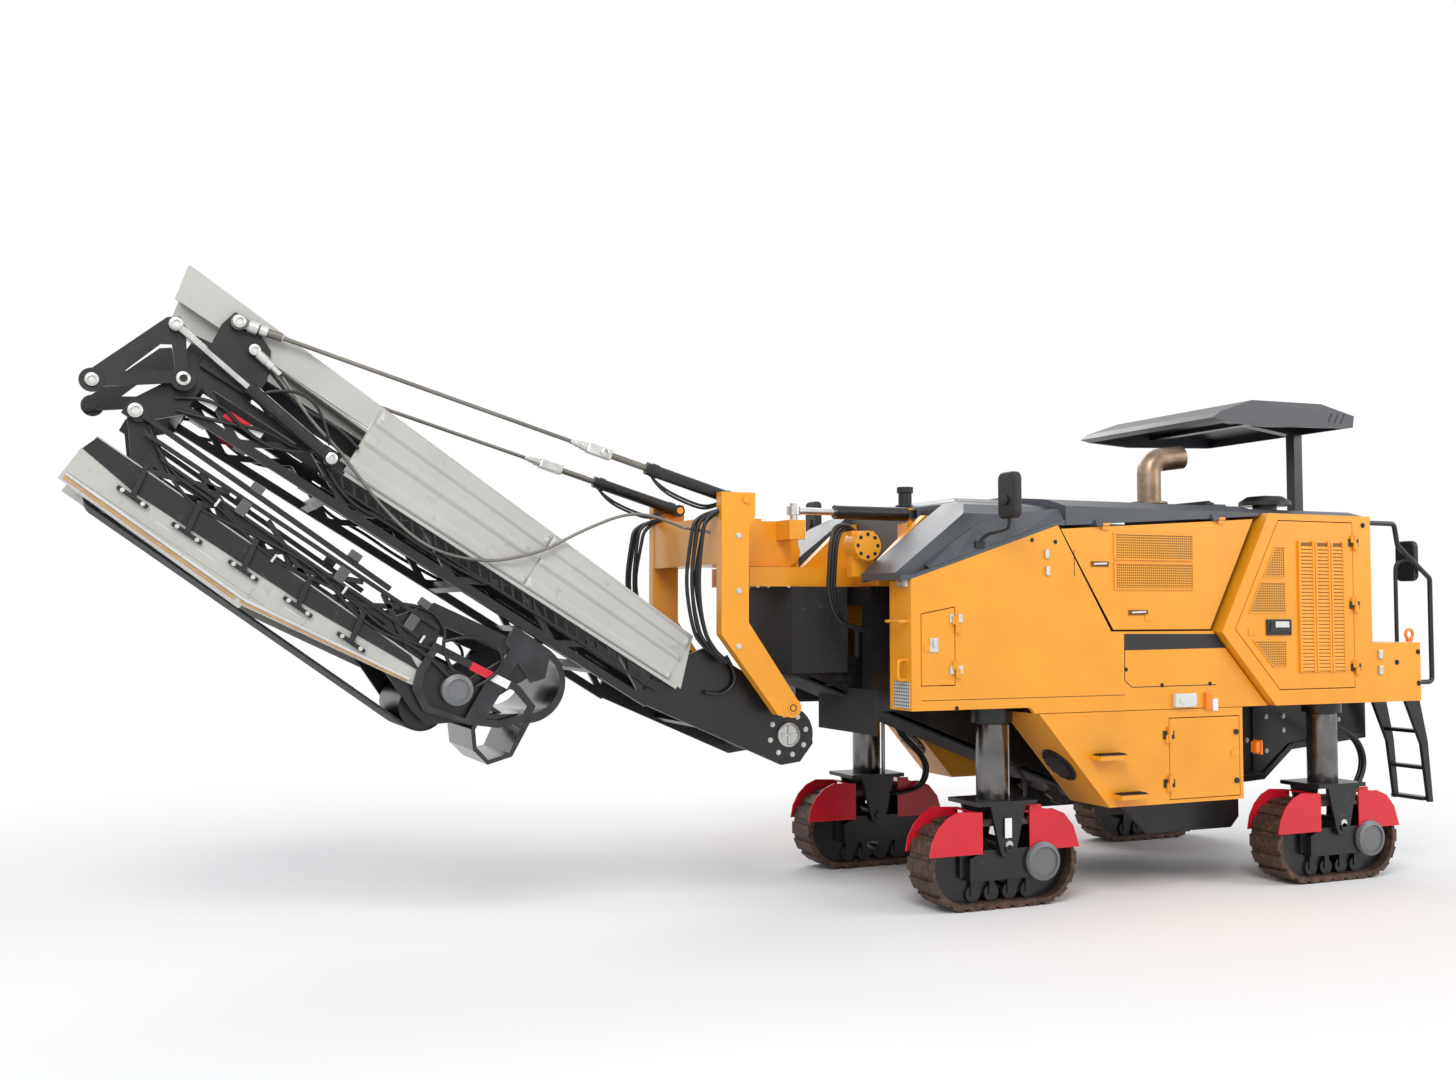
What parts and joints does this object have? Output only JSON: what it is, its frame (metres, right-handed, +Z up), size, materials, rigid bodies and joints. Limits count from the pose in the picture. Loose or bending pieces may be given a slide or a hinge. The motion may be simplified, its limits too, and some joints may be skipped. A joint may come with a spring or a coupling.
{
  "type": "tracked cold planer",
  "caption": "Tracked road milling machine with a drum under the body, steered crawlers on lifting columns and a slewing discharge conveyor folded in front.",
  "frame": {"origin": "on the ground under the middle of the machine's outline", "axes": "+X to the rear, where the operator stands; -Y the machine's left side; +Z up"},
  "size_m": [8.9483, 2.736, 3.6489],
  "materials": {
    "yellow_paint": "semi-gloss",
    "black_paint": "semi-gloss",
    "grey_paint": "satin",
    "light_grey_paint": "satin",
    "red_paint": "gloss",
    "track_steel": "worn",
    "belt_rubber": "matt",
    "steel": "bright",
    "exhaust_steel": "heat-stained",
    "rope_steel": "bright",
    "engine_metal": "painted"
  },
  "bodies": {
    "machine": {"chassis_frame": "black_paint", "engine_block": "engine_metal", "drum_housing": "black_paint", "feed_conveyor": "black_paint", "feed_belt": "belt_rubber", "side_panels": "yellow_paint", "rear_cabinets": "yellow_paint", "lower_boxes": "yellow_paint", "front_hood": "grey_paint", "engine_hood": "grey_paint", "operator_platform": "black_paint", "control_console": "black_paint", "canopy": "grey_paint", "canopy_post": "black_paint", "exhaust_pipe": "exhaust_steel", "air_intake": "black_paint", "handrails": "black_paint", "mirrors": "black_paint", "ladders": "black_paint", "front_mast": "yellow_paint", "rubber_skirt": "belt_rubber"},
    "front_left_crawler": {"front_left_leg": "black_paint", "front_left_track_frame": "black_paint", "front_left_track": "track_steel", "front_left_fenders": "red_paint"},
    "front_right_crawler": {"front_right_leg": "black_paint", "front_right_track_frame": "black_paint", "front_right_track": "track_steel", "front_right_fenders": "red_paint"},
    "rear_left_crawler": {"rear_left_leg": "black_paint", "rear_left_track_frame": "black_paint", "rear_left_track": "track_steel", "rear_left_fenders": "red_paint"},
    "rear_right_crawler": {"rear_right_leg": "black_paint", "rear_right_track_frame": "black_paint", "rear_right_track": "track_steel", "rear_right_fenders": "red_paint"},
    "drum": {"milling_drum": "track_steel"},
    "slewing": {"slew_frame": "yellow_paint"},
    "slew_barrel": {"slew_cylinder": "black_paint"},
    "slew_ram": {"slew_rod": "steel"},
    "discharge_conveyor": {"conveyor_frame": "black_paint", "conveyor_belt": "belt_rubber", "conveyor_covers": "light_grey_paint"},
    "stay_barrels": {"stay_cylinders": "black_paint"},
    "stay_rams": {"stay_ropes": "rope_steel"},
    "upper_conveyor": {"upper_frame": "black_paint", "upper_belt": "belt_rubber", "upper_boards": "light_grey_paint", "discharge_hood": "black_paint"},
    "fold_arms": {"fold_plates": "black_paint"},
    "fold_barrels": {"fold_cylinders": "black_paint"},
    "fold_rams": {"fold_rods": "steel"},
    "left_louvre_door": {"left_louvre_door": "yellow_paint"},
    "left_lower_door": {"left_lower_door": "yellow_paint"},
    "left_nose_door": {"left_nose_door": "yellow_paint"},
    "left_engine_door": {"left_engine_door": "yellow_paint"},
    "right_louvre_door": {"right_louvre_door": "yellow_paint"},
    "right_lower_door": {"right_lower_door": "yellow_paint"},
    "right_engine_door": {"right_engine_door": "yellow_paint"}
  },
  "joints": [
    {"name": "front_left_steer", "type": "hinge", "parent": "machine", "child": "front_left_crawler", "pos_m": [0.8742, -0.8, 1.2], "axis": [0, 0, 1], "range_deg": [-25, 25]},
    {"name": "front_right_steer", "type": "hinge", "parent": "machine", "child": "front_right_crawler", "pos_m": [0.8742, 0.8, 1.2], "axis": [0, 0, 1], "range_deg": [-25, 25]},
    {"name": "rear_left_steer", "type": "hinge", "parent": "machine", "child": "rear_left_crawler", "pos_m": [3.4742, -0.96, 1.2], "axis": [0, 0, 1], "range_deg": [-20, 20]},
    {"name": "rear_right_steer", "type": "hinge", "parent": "machine", "child": "rear_right_crawler", "pos_m": [3.4742, 0.96, 1.2], "axis": [0, 0, 1], "range_deg": [-20, 20]},
    {"name": "drum_spin", "type": "hinge", "parent": "machine", "child": "drum", "pos_m": [2.3992, 0, 0.85], "axis": [0, 1, 0], "continuous": true},
    {"name": "conveyor_slew", "type": "hinge", "parent": "machine", "child": "slewing", "pos_m": [-0.4118, 0, 2.3], "axis": [0, 0, 1], "range_deg": [-40, 40]},
    {"name": "slew_cylinder_swing", "type": "hinge", "parent": "machine", "child": "slew_barrel", "pos_m": [0.5742, -0.33, 2.46], "axis": [0, 0, 1], "range_deg": [-8, 8]},
    {"name": "slew_rod_slide", "type": "slide", "parent": "slew_barrel", "child": "slew_ram", "axis": [-1, 0, 0], "range_m": [-0.24, 0.24]},
    {"name": "conveyor_luff", "type": "hinge", "parent": "slewing", "child": "discharge_conveyor", "pos_m": [-0.42586, 0, 1.24564], "axis": [0, 1, 0], "range_deg": [-10, 7]},
    {"name": "stay_swing", "type": "hinge", "parent": "slewing", "child": "stay_barrels", "pos_m": [-0.7318, 0, 2.498], "axis": [0, 1, 0], "range_deg": [-12, 12]},
    {"name": "stay_slide", "type": "slide", "parent": "stay_barrels", "child": "stay_rams", "axis": [-0.9589, 0, 0.2839], "range_m": [-0.4, 0.4]},
    {"name": "conveyor_fold", "type": "hinge", "parent": "discharge_conveyor", "child": "upper_conveyor", "pos_m": [-4.11847, 0, 2.86569], "axis": [0, 1, 0], "range_deg": [0, 177.5]},
    {"name": "fold_arm_swing", "type": "hinge", "parent": "discharge_conveyor", "child": "fold_arms", "pos_m": [-3.89211, 0, 3.03618], "axis": [0, 1, 0], "range_deg": [0, 70]},
    {"name": "fold_cylinder_swing", "type": "hinge", "parent": "discharge_conveyor", "child": "fold_barrels", "pos_m": [-3.144, 0, 2.64701], "axis": [0, 1, 0], "range_deg": [-1, 8]},
    {"name": "fold_rod_slide", "type": "slide", "parent": "fold_barrels", "child": "fold_rams", "axis": [-0.7649, 0, 0.6442], "range_m": [-0.32, 0.01]},
    {"name": "left_louvre_door_hinge", "type": "hinge", "parent": "machine", "child": "left_louvre_door", "pos_m": [3.5882, -1.175, 1.87], "axis": [0, 0, 1], "range_deg": [0, 100]},
    {"name": "left_lower_door_hinge", "type": "hinge", "parent": "machine", "child": "left_lower_door", "pos_m": [2.0162, -1.115, 0.88], "axis": [0, 0, -1], "range_deg": [0, 100]},
    {"name": "left_nose_door_hinge", "type": "hinge", "parent": "machine", "child": "left_nose_door", "pos_m": [0.4222, -1.115, 1.62], "axis": [0, 0, 1], "range_deg": [0, 100]},
    {"name": "left_engine_door_hinge", "type": "hinge", "parent": "machine", "child": "left_engine_door", "pos_m": [1.1902, -1.115, 2.352], "axis": [-0.9979, 0, -0.0641], "range_deg": [0, 75]},
    {"name": "right_louvre_door_hinge", "type": "hinge", "parent": "machine", "child": "right_louvre_door", "pos_m": [3.5882, 1.175, 1.87], "axis": [0, 0, -1], "range_deg": [0, 100]},
    {"name": "right_lower_door_hinge", "type": "hinge", "parent": "machine", "child": "right_lower_door", "pos_m": [2.0162, 1.115, 0.88], "axis": [0, 0, 1], "range_deg": [0, 100]},
    {"name": "right_engine_door_hinge", "type": "hinge", "parent": "machine", "child": "right_engine_door", "pos_m": [1.1902, 1.115, 2.352], "axis": [0.9979, 0, 0.0641], "range_deg": [0, 75]}
  ],
  "couplings": [
    {"joint": "front_right_steer", "follows": "front_left_steer", "ratio": 1},
    {"joint": "rear_right_steer", "follows": "rear_left_steer", "ratio": 1},
    {"joint": "slew_cylinder_swing", "follows": "conveyor_slew", "ratio": -0.16},
    {"joint": "slew_rod_slide", "follows": "conveyor_slew", "m_per_rad": -0.33},
    {"joint": "stay_swing", "follows": "conveyor_luff", "ratio": 1.2024},
    {"joint": "stay_slide", "follows": "conveyor_luff", "m_per_rad": -1.1268},
    {"joint": "fold_arm_swing", "follows": "conveyor_fold", "ratio": 0.3944},
    {"joint": "fold_cylinder_swing", "follows": "conveyor_fold", "ratio": 0.034},
    {"joint": "fold_rod_slide", "follows": "conveyor_fold", "m_per_rad": -0.0992}
  ]
}
